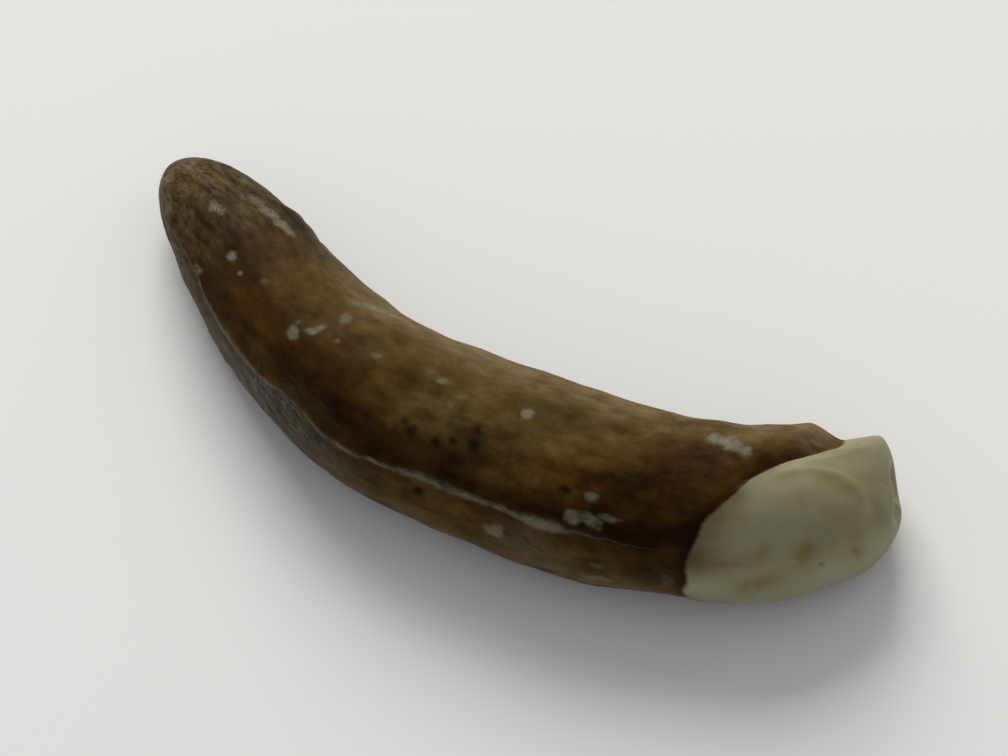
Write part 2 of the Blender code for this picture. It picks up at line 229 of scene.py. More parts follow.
# Chalky crusts: along and angle, half length and half breadth, turn, and how thickly they cover.
CRUSTS = (
    (4.7, 81, 0.4, 0.22, 25, 0.95), (3.8, 124, 0.26, 0.2, 0, 0.6), (4.8, 108, 0.22, 0.14, 0, 0.5),
    (5.3, 117, 0.45, 0.24, 10, 0.7), (6.1, 119, 0.6, 0.26, 15, 0.8), (6.9, 120, 0.5, 0.22, 10, 0.85),
    (7.5, 121, 0.3, 0.16, 10, 0.7), (7.3, 66, 0.24, 0.2, 30, 0.8), (8.3, 64, 0.13, 0.11, 0, 0.75),
    (6.5, 33, 0.3, 0.14, 0, 0.5), (9.4, 76, 0.16, 0.18, 0, 0.4), (12.2, 68, 0.3, 0.2, -20, 0.7),
    (12, 77, 0.14, 0.16, 0, 0.45), (12.8, 82, 0.16, 0.36, -28, 0.85), (13.3, 104, 0.24, 0.24, 0, 0.8),
    (13, 124, 0.4, 0.17, 45, 0.62), (13.7, 131, 0.5, 0.2, 35, 0.85), (14.6, 138, 0.55, 0.14, 25, 0.7),
    (13.9, 86, 0.13, 0.13, 0, 0.55), (15.7, 93, 0.19, 0.17, 0, 0.65), (18.9, 100, 0.3, 0.18, 0, 0.65),
    (18.3, 112, 0.22, 0.15, 0, 0.3), (19.7, 83, 0.2, 0.2, 0, 0.35), (17.8, 55, 0.2, 0.2, 0, 0.25),
    (19.8, 93, 0.2, 0.18, 0, 0.3), (22.9, 100, 0.24, 0.24, 50, 0.85), (23.3, 15, 0.34, 0.4, 30, 0.8),
    (24.9, 31, 0.55, 0.2, 0, 0.7), (26.7, 57, 0.28, 0.2, 0, 0.62), (26.2, 41, 0.28, 0.3, 20, 0.75),
    (26.9, 42, 0.42, 0.24, -15, 0.7), (27.6, 46, 0.4, 0.16, 0, 0.6), (24.3, 56, 0.3, 0.34, 0, 0.28),
    (27.5, 8, 0.3, 0.18, 0, 0.5), (27.5, -8, 0.6, 0.2, 0, 0.7), (30, 4, 0.26, 0.34, 0, 0.35),
    (31.4, 122, 0.46, 0.32, 0, 0.85), (32.2, 118, 0.46, 0.42, 0, 0.95), (32.8, 111, 0.3, 0.28, 0, 0.8),
    (32.5, 145, 0.42, 0.2, 0, 0.5), (36.2, 133, 0.24, 0.1, 15, 0.55),
)
# Crusts on the sides that face down and away, strewn by a seeded draw.
STREWN_CRUSTS = 22
STREWN_SEED = 11
# Ranges of their place, angle, half length, half breadth as a share of that, turn and cover.
STREWN_RANGES = ((3.0, 33.0), (-195.0, -25.0), (0.14, 0.42), (0.5, 1.0), (0.0, 90.0), (0.4, 0.95))
CRUST_SCALE = 1.18
CRUST_SOFTNESS = 0.60
CRUST_RAGGEDNESS = 0.30
CRUST_RAG_SIZE = 0.34 * MM
CRUST_WARP = 0.08 * MM
CRUST_WARP_SIZE = 0.45 * MM
CRUST_SEEDS = (130, 140, 150)

# Small ring marks: along, angle, radius.
RING_MARKS = (
    (32.6, 120, 0.30),
    (31.6, 86, 0.22),
    (13.3, 104, 0.16),
)
RING_HALF_BREADTH = 0.055 * MM

# Black-green spots: along, angle, radius and depth of colour.
DARK_SPOTS = (
    (21.4, 64, 0.34, 1), (21.2, 74, 0.28, 0.75), (21.9, 66, 0.2, 0.35), (18.7, 56, 0.3, 0.8),
    (18.3, 60, 0.26, 0.7), (19.8, 56, 0.26, 0.75), (20.5, 61, 0.24, 0.7), (20.9, 50, 0.3, 0.35),
    (19.8, 19, 0.27, 0.9), (25.6, 57, 0.3, 0.75), (14.2, 56, 0.26, 0.6), (7, 72, 0.24, 0.45),
    (5.9, 58, 0.28, 0.4), (9.8, -60, 0.24, 0.6), (16.5, -75, 0.22, 0.7), (22.5, -50, 0.26, 0.8),
    (26, -120, 0.24, 0.6), (17, 170, 0.2, 0.5),
)

# How light the root is, from 0 to 1, by angle round it: near its tip, then along the rest. This is
# partly the root's own colour and partly painted shade and light: darkest just past the enamel band
# on the side turned from the lamp, lighter on the upper tongue side, with a painted rim of light
# along the top edge and painted light from the floor low on the lip side.
TIP_TONE = np.array([
    (-180, 0.54), (-120, 0.5), (-60, 0.54), (-25, 0.7), (10, 0.66), (45, 0.54), (75, 0.58),
    (100, 0.62), (125, 0.58), (180, 0.5),
])
ROOT_TONE = np.array([
    (-180, 0.66), (-120, 0.58), (-70, 0.56), (-30, 0.82), (-8, 0.72), (12, 0.57), (26, 0.54),
    (37, 0.38), (50, 0.39), (62, 0.44), (73, 0.53), (85, 0.61), (100, 0.66), (118, 0.76),
    (140, 0.92), (160, 0.86), (180, 0.7),
])
TIP_TONE_END = 11.5 * MM
TIP_TONE_FADE = 5.0 * MM
SHADE_SHARE = 0.26
# Painted shade in the valley beside the enamel band: how dark, how far out and how broad.
VALLEY_SHADE = 0.16
VALLEY_SHADE_OFFSET = 0.20 * MM
VALLEY_SHADE_BREADTH = 0.30 * MM

# Zones of the root's colour, for how light it is and for each tint: along, angle, half length,
# half breadth, amount. The light and dark zones are mostly the root's own patches, but the dark ones
# beside the enamel's edge on the upper side are partly painted shadow in the crease there, and the
# light one low on the lip side near the crown is painted light where the floor shades it.
SHADE_ZONES = (
    (7, 97, 2, 1, -0.2), (9.4, 86, 1.9, 1, -0.45), (14, 74, 1.8, 0.8, -0.35),
    (7.2, 138, 2.2, 0.9, -0.8), (10.4, 136, 2, 0.6, -0.6), (27.6, 112, 3, 1.2, -0.4),
    (12.9, 54, 1.1, 0.6, -0.35), (14.6, 66, 1, 0.7, -0.2), (16.8, 64, 1.4, 0.6, 0.6),
    (13.5, 128, 1.6, 0.6, 0.4), (22.2, 46, 1.3, 0.6, 0.9), (19.6, 42, 0.9, 0.5, 0.65),
    (29.9, 60, 1, 0.8, -0.6), (24.3, 70, 1, 0.6, 0.45), (17.2, 128, 1.2, 0.5, -0.45),
    (1.6, 50, 1.4, 1.2, 1.1), (2.4, 96, 1.4, 1.2, 0.4), (15.2, 50, 1.2, 0.7, -0.6),
    (20.9, 46, 1, 0.5, -0.95), (20, 52, 2.2, 0.4, -0.3), (11.8, 38, 1.1, 0.6, 0.85),
    (18.4, 100, 1, 0.4, 0.55), (21.4, 104, 1.4, 0.4, 0.45), (22.8, 83, 1.8, 0.5, -0.3),
    (13.8, 40, 1.1, 0.6, 0.45), (15.1, 30, 1, 0.6, 0.55), (22.3, 93, 0.8, 0.4, 0.35),
    (19.2, 64, 0.9, 0.5, 0.45), (28.5, -16, 3, 1.2, 0.5), (33.2, 128, 0.8, 0.5, 0.7),
    (22, 46, 1.8, 0.4, 0.5), (28.6, 46, 1.6, 0.9, -0.35), (29.5, 20, 1, 1, -0.55),
    (19.2, 76, 1.6, 0.6, 0.2), (20.6, 80, 0.8, 0.6, -0.4), (23, 106, 2, 0.8, -0.3),
    (20.9, 58, 1.4, 0.6, -0.25), (24.2, 54, 2.2, 0.7, 0.5), (25.8, 78, 1.4, 0.5, 0.25),
    (17.4, 14, 1.4, 1, -0.55), (21.6, 10, 1.8, 1.2, 0.25), (25.2, 12, 1.6, 1.2, 0.6),
    (28.8, 16, 1.4, 1.4, -0.2), (27.8, 74, 1.6, 1, -0.45), (30.2, 82, 1.4, 0.9, -1.05),
    (31, 98, 1.2, 0.9, -0.85), (32.4, 142, 1.6, 0.8, -0.6), (30.6, 136, 1.8, 0.8, -0.95),
    (33.4, 98, 1.3, 0.8, -0.75), (34.8, 114, 1, 0.6, -0.5), (32, 112, 1.6, 0.9, -0.25),
    (4.8, 78, 0.9, 0.8, -0.45), (6.9, 80, 0.7, 0.7, -0.45), (8.4, 77, 0.8, 0.5, -0.35),
    (17.5, 92, 0.7, 0.6, -0.35), (16, 82, 0.8, 0.4, -0.3), (20.9, 114, 1.3, 0.5, 0.35),
    (20.5, 92, 0.8, 0.4, 0.2), (24.5, 117, 0.9, 0.4, -0.45), (26.3, 78, 0.9, 0.3, 0.7),
    (26.7, 103, 0.5, 0.35, 0.5), (29.2, 98, 1, 0.5, -0.4), (27.8, 112, 0.7, 0.4, 0.3),
    (13, -60, 3, 2, 0.35), (22, -100, 4, 2, 0.2), (28.5, -60, 2.4, 2.4, -0.25),
)
WARM_ZONES = (
    (10.2, 54, 2.2, 1.4, 0.55), (9.5, 100, 3, 1.2, 0.3), (25.4, 76, 2.6, 1, 0.7),
    (15.6, 70, 1.6, 1, 0.5), (28.8, 66, 2.6, 1.6, 0.9), (31, 92, 2.2, 1.3, 1),
    (29.6, 44, 1.4, 0.8, 0.6), (32.8, 100, 1.4, 0.6, 0.5), (21.4, 14, 1.6, 1, 0.45),
    (12, -70, 4, 2, 0.4), (29, -80, 3, 2, 0.6),
)
OLIVE_ZONES = (
    (19.6, 74, 2.6, 0.9, 0.9), (24, 84, 3, 0.8, 0.45), (17, -95, 3, 1.5, 0.5),
)
# The grey near the root's tip is its own colour; the long thin grey zone along the top edge is painted
# rim light, and the one low on the lip side is painted light from the floor.
GREY_ZONES = (
    (0, 90, 4, 9, 0.75), (5.2, 72, 2.2, 1.8, 0.35), (7.5, 148, 4, 1.4, 0.8), (7, 6, 3.6, 1, 0.6),
    (25.4, 8, 1.8, 1.2, 0.5), (20, 136, 11, 1, 0.75), (24, -14, 8, 1, 0.5), (14.4, 44, 1.3, 0.5, 0.5),
    (35.9, 132, 0.8, 0.7, 0.9),
)

# Painted blue-grey sheen on the enamel band, a painted reflection of the pale floor, and how aslant
# its hair scratches lie.
HAIR_TURN = -35.0
PAINTED_SHEEN_ZONES = (
    (13, 10, 2.6, 2, 0.95), (9.4, 2, 1.8, 1, 0.45), (16.2, 4, 1, 1, 0.3), (11.8, 38, 0.7, 0.4, 0.6),
    (29.8, 12, 0.4, 0.6, 0.12), (24.6, 8, 1, 0.9, 0.35),
)

# The crown's stains, in the zones' columns, with small round ones: along, angle, radius, amount.
STAINS = (
    (34.9, 70, 0.45, 0.4, 0.5), (36.1, 57, 0.35, 0.35, 0.65), (34.8, 34, 0.6, 0.6, 1.05),
    (34.4, 25, 0.5, 0.4, 0.6), (33.1, 35, 0.45, 0.45, 0.85), (32.9, 12, 0.7, 0.5, 1),
    (32.4, 56, 0.6, 0.5, 0.5), (37, 20, 1.4, 1.2, 0.3), (32.4, 4, 0.5, 0.4, 0.6),
    (37.2, 24, 0.4, 0.34, 0.9), (37.1, 79, 0.6, 0.24, 0.85), (36.4, 88, 0.5, 0.2, 0.45),
    (37.9, 68, 0.4, 0.2, 0.5), (36.5, 86, 0.7, 0.26, 0.35), (38.4, 50, 0.35, 0.6, 0.45),
    (35.5, -30, 0.7, 0.8, 0.6), (33.5, -62, 0.8, 0.6, 0.6), (36.8, -70, 0.6, 0.5, 0.7),
    (38, 175, 0.4, 1.2, 0.6),
)
STAIN_DOTS = (
    (35.4, 20, 0.12, 0.9),
    (37.2, 23, 0.20, 0.7),
    (36.9, -40, 0.14, 0.8),
)
# Where the enamel is clearer, paler or duller. The paler zones are partly painted light: highlight
# on the crown's upper side, and light from the floor low on its lip side.
CLEAR_ZONES = (
    (33.4, 56, 1.5, 1.1, 1), (35.2, 46, 1.3, 1, 0.45), (34, -50, 1.6, 1.3, 0.9),
)
PALE_ZONES = (
    (33.6, 88, 0.7, 0.6, 0.5), (34.8, 100, 0.8, 0.5, 0.6), (36, 112, 0.8, 0.5, 0.6),
    (37.9, 8, 1.2, 0.9, 0.6), (36.4, 10, 2, 1.1, 1), (31.3, 2, 0.8, 1, 0.6), (38, 30, 1.2, 1.2, 0.65),
    (32.6, 8, 0.7, 0.9, 0.35), (34.2, 24, 0.8, 0.5, 0.25), (36, 18, 0.6, 0.6, 0.25),
    (32, -20, 1.2, 1.4, 0.4), (35.5, -110, 1.2, 0.8, 0.5),
)
DULL_ZONES = (
    (31.2, 28, 0.6, 0.7, 0.8), (31.5, 58, 0.5, 1.1, 0.8), (32.3, 72, 0.45, 0.6, 0.8),
    (32.2, 27, 0.9, 0.18, 0.45), (38.2, 126, 1.6, 1.5, 0.6), (38.2, 88, 0.8, 0.8, 0.6),
    (31.4, -35, 0.8, 0.8, 0.6),
)
# Tables that the material reads as fields.
FIELD_ZONES = {
    "warm": WARM_ZONES, "olive": OLIVE_ZONES, "grey": GREY_ZONES, "painted_sheen": PAINTED_SHEEN_ZONES,
    "stains": STAINS, "clear": CLEAR_ZONES, "pale": PALE_ZONES, "dull": DULL_ZONES,
}
FIELD_DOTS = {"dark_spots": DARK_SPOTS, "stain_dots": STAIN_DOTS}

# The enamel beside its edge: pale above, a painted highlight where it faces the lamp, thin and
# brownish towards the lip side.
PALE_RIM_START = 96.0
PALE_RIM_FADE = 14.0
PALE_RIM_LENGTH = 0.75 * MM
THIN_RIM_LENGTH = 0.50 * MM
THIN_RIM_START = 4.0
THIN_RIM_FADE = 22.0
# Painted shadow on the root along the enamel's edge: how far it reaches.
EDGE_SHADOW_LENGTH = 0.45 * MM
# How far before its edge, in millimetres, the enamel's colour starts, by angle.
ENAMEL_TINT = np.array([
    (0, 0.06), (30, 0.08), (50, 0.04), (66, -0.08), (95, -0.21), (120, -0.07), (180, 0),
])

# The pale crescent line round the groove.
CRESCENT_DISTANCE = 1.06
CRESCENT_HALF_SPREAD = 0.05
CRESCENT_TOWARDS = (0.6, 0.8)
CRESCENT_START = 0.50
CRESCENT_FADE = 0.25

# Colours of the root's cementum from darkest to lightest, and what tints it.
CEMENTUM_RAMP = (
    (0.00, (0.0058, 0.0022, 0.0006)),
    (0.25, (0.0155, 0.0058, 0.0006)),
    (0.50, (0.0375, 0.0180, 0.0016)),
    (0.75, (0.0820, 0.0480, 0.0100)),
    (1.00, (0.1500, 0.1020, 0.0420)),
)
WARM_COLOUR = (0.0740, 0.0310, 0.0030)
OLIVE_COLOUR = (0.0900, 0.0640, 0.0180)
GREY_COLOUR = (0.0900, 0.0700, 0.0380)
# Colours of the painted sheen on the band, streaked by its hair scratches.
PAINTED_SHEEN_RAMP = (
    (0.36, (0.0290, 0.0260, 0.0210)),
    (0.50, (0.0640, 0.0620, 0.0540)),
    (0.66, (0.1500, 0.1490, 0.1270)),
)
RIDGE_COLOUR = (0.1450, 0.1400, 0.0960)
CHALK_COLOUR = (0.2050, 0.1980, 0.1420)
CHALK_DEEP_COLOUR = (0.1150, 0.1060, 0.0680)
FLECK_COLOUR = (0.0140, 0.0095, 0.0050)
SPOT_COLOUR = (0.0030, 0.0032, 0.0012)
# What tints it: the field, the colour, and how strongly it is laid on.
TINTS = (
    ("warm", WARM_COLOUR, 0.75),
    ("olive", OLIVE_COLOUR, 0.80),
    ("grey", GREY_COLOUR, 0.75),
)

# Colours of the crown's enamel.
ENAMEL_COLOUR = (0.2200, 0.1980, 0.1110)
ENAMEL_PALE_COLOUR = (0.3050, 0.2870, 0.1810)
ENAMEL_CLEAR_COLOUR = (0.2030, 0.1950, 0.1270)
STAIN_COLOUR = (0.1750, 0.1400, 0.0420)
STAIN_DEEP_COLOUR = (0.0650, 0.0480, 0.0190)

# Noises that the material reads: waves in a millimetre along and across, detail, roughness,
# distortion.
NOISES = {
    "broad": (0.35, 0.6, 4, 0.5, 0.2),
    "blotches": (0.9, 1.3, 5, 0.55, 0.15),
    "fibres": (0.45, 4.5, 4, 0.6, 0.3),
    "specks": (7, 9, 3, 0.6, 0),
    "patchy": (0.8, 1.3, 3, 0.55, 0),
    "flecks": (2.4, 7.5, 4, 0.65, 0),
    "spot_rags": (3.6, 3.6, 4, 0.6, 0),
    "crust_rags": (4.5, 5, 4, 0.6, 0),
    "chalk": (3, 3, 4, 0.55, 0),
    "crackle": (2.6, 4, 3, 0.6, 0.5),
    "sheen_hairs": (0.8, 9, 2, 0.6, 0.2),
    "strands": (0.8, 9, 2, 0.55, 0),
    "painted_sheen": (1.3, 1.6, 4, 0.55, 0),
    "ridge_rags": (3, 6, 4, 0.55, 0),
    "ridge_breaks": (1.5, 2.4, 4, 0.65, 0),
    "enamel_rags": (4, 4, 3, 0.55, 0),
    "cloud": (0.35, 0.45, 3, 0.5, 0.3),
    "stains": (1.4, 1.4, 3, 0.55, 0),
    "growth_lines": (3.2, 0.22, 2, 0.55, 0),
    "root_roughness": (1.2, 2.4, 4, 0.55, 0),
    "enamel_roughness": (1.5, 1.5, 3, 0.55, 0),
    "fibre_relief": (0.8, 9, 4, 0.6, 0),
    "grit": (9, 9, 4, 0.6, 0),
}
# Smooth steps, of the noise of the same name or of a field: from, to, value before, value after.
STEPS = {
    "brightness": (0.1, 0.95, 0.12, 1.7),
    "patchy": (0.35, 0.65, 0.35, 1.15),
    "flecks": (0.48, 0.66, 0, 1),
    "spots": (0.02, 0.9, 0, 0.96),
    "crusts": (0.1, 1.05, 0, 0.8),
    "chalk": (0.28, 0.6, 0.3, 1),
    "cracks": (0, 0.045, 0.85, 0),
    "painted_sheen": (0.3, 0.6, 0.55, 1),
    "on_band": (-0.1, 0.16, 1, 0),
    "strands": (0.56, 0.76, 0, 0.28),
    "ridge_line": (0.15, 1.6, 1, 0),
    "ridge_breaks": (0.36, 0.6, 0.2, 0.8),
    "enamel": (-0.05, 0.17, 0, 1),
    "cloud": (0.35, 0.7, 0, 1),
    "bite": (0, 1.2, 0.2, 0),
    "stains": (0.3, 0.62, 0.25, 1),
    "growth_lines": (0.3, 0.7, 0.985, 1.015),
    "root_roughness": (0.3, 0.7, 0.42, 0.6),
    "enamel_roughness": (0.3, 0.7, 0.28, 0.4),
    "relief": (0, 1, 1, 0.12),
}

# How much a centred noise or a field of the same name adds to what it is part of.
SHARES = {
    "broad": 0.5, "blotches": 0.7, "fibres": 1.0, "specks": 0.14, "edge_shadow": -0.22,
    "grey": 0.5, "tip_zone": 0.45, "ring_marks": 0.9, "crackle": 1.0,
    "spot_rags": 0.8, "crust_rags": 0.6, "ridge_rags": 1.1, "enamel_rags": 0.16,
    "clear": 0.8, "pale_rim": 0.45, "crescent": 0.7, "stains": 0.75, "groove": 0.12,
    "dull": 0.45, "thin_rim": 0.55, "stain_dots": 0.7,
}
FLECK_SHARE = 0.72
PLAIN_ENAMEL_SHARE = 0.35
PALE_SHARE = 0.75

# The most that a colour covers.
TINT_LIMIT = 0.85
PAINTED_SHEEN_LIMIT = 0.92
PALE_LIMIT = 0.8
STAIN_LIMIT = 0.85

# Sheen, fine bumps and the enamel's glow.
SPECULAR_LEVEL = 0.035
CRUST_ROUGHNESS = 0.25
FIBRE_RELIEF_SHARE = 1.2
FIBRE_RELIEF_LEAST = 0.10
GRIT_SHARE = 0.6
BUMP_HEIGHT = 0.010 * MM
GLOW_SHARE = 0.25
GLOW_RADIUS = (1.0, 0.8, 0.5)
GLOW_SCALE = 0.5 * MM

# Floor, surround and lamp.
FLOOR_SIZE = 4.0
FLOOR_COLOUR = (0.80, 0.80, 0.79, 1.0)
FLOOR_ROUGHNESS = 0.9
SURROUND_COLOUR = (0.94, 0.96, 1.0, 1.0)
SURROUND_STRENGTH = 0.45
LAMP_AT = (-0.10, 0.42, 0.34)
LAMP_SIZE = 0.36
LAMP_POWER = 2.8
LAMP_COLOUR = (1.0, 0.97, 0.92)

# Camera: the photo's viewing angle and scale, as pixels of a 1008 x 756 picture.
PICTURE_WIDTH = 1008
PICTURE_HEIGHT = 756
LINE_ORIGIN_AT = (530.0, 380.0)
PIXELS_PER_METRE = 22.7 / MM
CAMERA_ELEVATION = math.radians(60.0)
CAMERA_DISTANCE = 0.25
SENSOR = 36.0
CLIP_START = 0.01
CLIP_END = 10.0


def spline(table, at):
    """Natural cubic spline through a table of places and values, read at the given places."""
    places = table[:, 0]
    values = table[:, 1]
    steps = np.diff(places)
    slopes = np.diff(values) / steps
    count = len(places)
    matrix = np.eye(count)
    right = np.zeros(count)
    for i in range(1, count - 1):
        matrix[i, i - 1 : i + 2] = (steps[i - 1], 2.0 * (steps[i - 1] + steps[i]), steps[i])
        right[i] = 6.0 * (slopes[i] - slopes[i - 1])
    bend = np.linalg.solve(matrix, right)
    cell = np.clip(np.searchsorted(places, at) - 1, 0, count - 2)
    before = (places[cell + 1] - at) / steps[cell]
    after = 1.0 - before
    straight = before * values[cell] + after * values[cell + 1]
    curved = (before**3 - before) * bend[cell] + (after**3 - after) * bend[cell + 1]
    return straight + curved * steps[cell] ** 2 / 6.0


def bump(distance):
    """A round hump, 1 in the middle and 0.37 at a distance of 1."""
    return np.exp(-(distance**2))


def smooth_step(value):
    value = np.clip(value, 0.0, 1.0)
    return value * value * (3.0 - 2.0 * value)


def round_over(value):
    """A quarter circle's rise, steep at 0 and level at 1."""
    return np.sqrt(1.0 - (1.0 - np.clip(value, 0.0, 1.0)) ** 2)


def noise(points, seed):
    """Gradient noise between about -1 and 1, with a wave length of one unit."""
    draw = np.random.default_rng(seed)
    order = np.tile(draw.permutation(256), 2)
    ways = draw.normal(size=(256, 3))
    ways /= np.linalg.norm(ways, axis=1, keepdims=True)
    cell = np.floor(points).astype(int)
    inside = points - cell
    fade = inside**3 * (inside * (inside * 6.0 - 15.0) + 10.0)
    total = np.zeros(points.shape[:-1])
    for corner in itertools.product((0, 1), repeat=3):
        at = (cell + corner) % 256
        pick = order[order[order[at[..., 0]] + at[..., 1]] + at[..., 2]]
        height = (ways[pick] * (inside - corner)).sum(-1)
        total += height * np.prod(np.where(corner, fade, 1.0 - fade), -1)
    return 1.6 * total


def layered_noise(points, seed):
    """Noise with a finer and weaker layer added."""
    total = np.zeros(points.shape[:-1])
    for layer in range(NOISE_LAYERS):
        total += noise(points * 2.0**layer, seed + layer) / 2.0**layer
    return total


def stretched_noise(straight, kind):
    """Layered noise at the height and wave lengths, along and across, that a kind names."""
    height, wave_along, wave_across, seed = kind
    waves = np.array((wave_along, wave_across, wave_across))
    return height * layered_noise(straight / waves, seed)


def walk_centre_line():
    """Places along the centre line, with the point in plan and the direction at each."""
    chords = np.linalg.norm(np.diff(CENTRE_LINE, axis=0), axis=1)
    knots = np.concatenate(([0.0], np.cumsum(chords)))
    even = np.linspace(0.0, knots[-1], LINE_SAMPLES)
    across = spline(np.column_stack((knots, CENTRE_LINE[:, 0])), even)
    along = spline(np.column_stack((knots, CENTRE_LINE[:, 1])), even)
    points = np.column_stack((across, along))
    walked = np.concatenate(([0.0], np.cumsum(np.linalg.norm(np.diff(points, axis=0), axis=1))))
    ways = np.gradient(points, walked, axis=0)
    ways /= np.linalg.norm(ways, axis=1, keepdims=True)
    return walked, points, ways


WALKED, LINE_POINTS, LINE_WAYS = walk_centre_line()
LENGTH = WALKED[-1]


def read_line(samples, along):
    """The centre line's points or directions at places along it."""
    return np.stack([np.interp(along, WALKED, samples[:, i]) for i in (0, 1)], -1)


def band_half_angle(along):
    """Half the enamel band's spread, with the wavering of its edge."""
    angle = spline(BAND_HALF_ANGLE, along)
    for wave, height, seed in BAND_WAVERS:
        line = np.stack([along / wave, np.full_like(along, 0.5), np.zeros_like(along)], -1)
        angle = angle + height * noise(line, seed)
    return angle


def enamel_edge(angle):
    """Place along the tooth where the enamel starts, by angle."""
    turn = np.radians(angle)
    ring = np.stack([np.cos(turn), np.sin(turn), np.zeros_like(turn)], -1) * EDGE_WAVERS_ROUND
    scallop = SCALLOP * np.sin(turn * SCALLOPS_ROUND)
    waver = EDGE_WAVER * layered_noise(ring, EDGE_WAVER_SEED)
    return spline(ENAMEL_EDGE, np.abs(angle)) + scallop + waver


def edge_rounding(angle):
    """Length over which the crown rounds off to the biting edge, by angle."""
    facing = np.cos(np.radians(angle))
    lip = np.maximum(facing, 0.0) ** 2
    tongue = np.maximum(-facing, 0.0)
    side = 1.0 - lip - tongue
    return side * EDGE_ROUNDING_SIDE + lip * EDGE_ROUNDING_LIP + tongue * EDGE_ROUNDING_TONGUE


def end_share(along, angle):
    """How much of its full size a ring keeps: both ends close in quarter ellipses."""
    from_tip = np.clip(1.0 - along / TIP_ROUNDING, 0.0, 1.0)
    from_edge = np.clip(1.0 - (LENGTH - along) / edge_rounding(angle), 0.0, 1.0)
    return np.sqrt(1.0 - from_tip**2) * np.sqrt(1.0 - from_edge**2)


def section_radius(along, angle):
    """Distance out to the plain rounded section, before the ends close it and relief is added."""
    turn = np.radians(angle)
    lip = spline(LIP_HALF_WIDTH, along)
    tongue = spline(TONGUE_HALF_WIDTH, along)
    width = np.where(np.cos(turn) > 0.0, lip, tongue)
    lift = np.full(np.shape(along), UNDERSIDE_LIFT)
    for spot in FLAT_SPOTS:
        lift = lift * (1.0 - bump((along - spot) / FLAT_HALF_LENGTH))
    depth = spline(HALF_DEPTH, along) - np.where(np.sin(turn) < 0.0, lift, 0.0)
    round_sum = np.abs(np.cos(turn) / width) ** SECTION_POWER
    round_sum = round_sum + np.abs(np.sin(turn) / depth) ** SECTION_POWER
    return round_sum ** (-1.0 / SECTION_POWER)


def band_strength(along):
    strength = smooth_step((along - RIDGE_START) / RIDGE_FADE)
    return strength * smooth_step((RIDGE_END - along) / RIDGE_FADE)


def band_relief(along, angle, radius):
    """The band's raised and beaded edge, the valley beside it and the band's slight hollow."""
    half_band = band_half_angle(along)
    beside = np.radians(np.abs(angle) - half_band) * radius
    line = np.stack([along / RIDGE_BEAD_LENGTH, np.sign(angle), np.zeros_like(along)], -1)
    beads = 1.0 + RIDGE_BEAD_SHARE * noise(line + RIDGE_BEAD_START, RIDGE_BEAD_SEED)
    ridge = RIDGE_HEIGHT * beads * bump(beside / RIDGE_HALF_BREADTH)
    valley = VALLEY_DEPTH * bump((beside - VALLEY_OFFSET) / VALLEY_HALF_BREADTH)
    hollow = BAND_DISH * bump(angle / (BAND_DISH_SHARE * half_band))
    return band_strength(along) * (ridge - valley - hollow)


def groove_place(along, angle, radius):
    """Offsets from the groove's middle, distance in groove sizes, and how much it opens there."""
    ahead = (along - GROOVE_ALONG) / GROOVE_HALF_LENGTH
    aside = np.radians(np.abs(angle) - GROOVE_ANGLE) * radius / GROOVE_HALF_BREADTH
    facing = GROOVE_OPENS_TOWARDS[0] * ahead + GROOVE_OPENS_TOWARDS[1] * aside
    opened = smooth_step((facing - GROOVE_FADE_START) / GROOVE_FADE_LENGTH)
    return (ahead, aside), np.hypot(ahead, aside), opened


def crown_relief(along, angle, radius):
    """The enamel's step, the root's lip before it and the groove in each side of the crown."""
    past_edge = along - enamel_edge(angle)
    on_enamel = smooth_step(past_edge / ENAMEL_STEP_RUN)
    height = spline(ENAMEL_STEP, np.abs(angle)) * round_over(past_edge / ENAMEL_ROUNDING)
    roll = bump((past_edge - ENAMEL_ROLL_OFFSET) / ENAMEL_ROLL_HALF_LENGTH)
    height = height + ENAMEL_ROLL_HEIGHT * roll * on_enamel
    round_back = (np.abs(angle) - TONGUE_SIDE_START) / (TONGUE_SIDE_FULL - TONGUE_SIDE_START)
    tongue_side = smooth_step(round_back)
    lip = ROOT_LIP_HEIGHT * bump((past_edge + ROOT_LIP_OFFSET) / ROOT_LIP_HALF_LENGTH)
    drop = ROOT_DROP * smooth_step(1.0 + past_edge / ROOT_DROP_LENGTH)
    corner = CORNER_HEIGHT * smooth_step(past_edge / CORNER_LENGTH)
    height = height + tongue_side * (lip - drop + corner)
    _, distance, opened = groove_place(along, angle, radius)
    rim = RIM_HEIGHT * bump((distance - RIM_DISTANCE) / RIM_HALF_SPREAD)
    groove = GROOVE_DEPTH * bump((distance - GROOVE_DISTANCE) / GROOVE_HALF_SPREAD)
    return height + (rim - groove) * opened * on_enamel


def root_relief(along, angle, radius):
    """Slow swells and dents over the root, fading out on the underside that it lies on."""
    turn = np.radians(angle)
    height = np.zeros(np.shape(along))
    for swell, wave, waves_round, phase in SWELLS:
        ripple = np.sin(2.0 * math.pi * along / wave + phase)
        height = height + swell * ripple * np.sin(waves_round * turn + 2.0 * phase)
    height = height - MM * zone_field(along, angle, radius, DENTS)
    return height * (1.0 - underside(angle))


def underside(angle):
    return bump((angle + 90.0) / UNDERSIDE_HALF_ANGLE)


def tip_zone(along):
    """1 near the tip of the root, 0 further along."""
    return smooth_step((TIP_ZONE_END - along) / TIP_ZONE_FADE)


def pits(along, straight):
    """How deep, from 0 to 1, the small pits near the tip are."""
    field = stretched_noise(straight, (1.0, *PITS[1:]))
    return smooth_step((field - PIT_THRESHOLD) / PIT_SOFTNESS) * tip_zone(along)


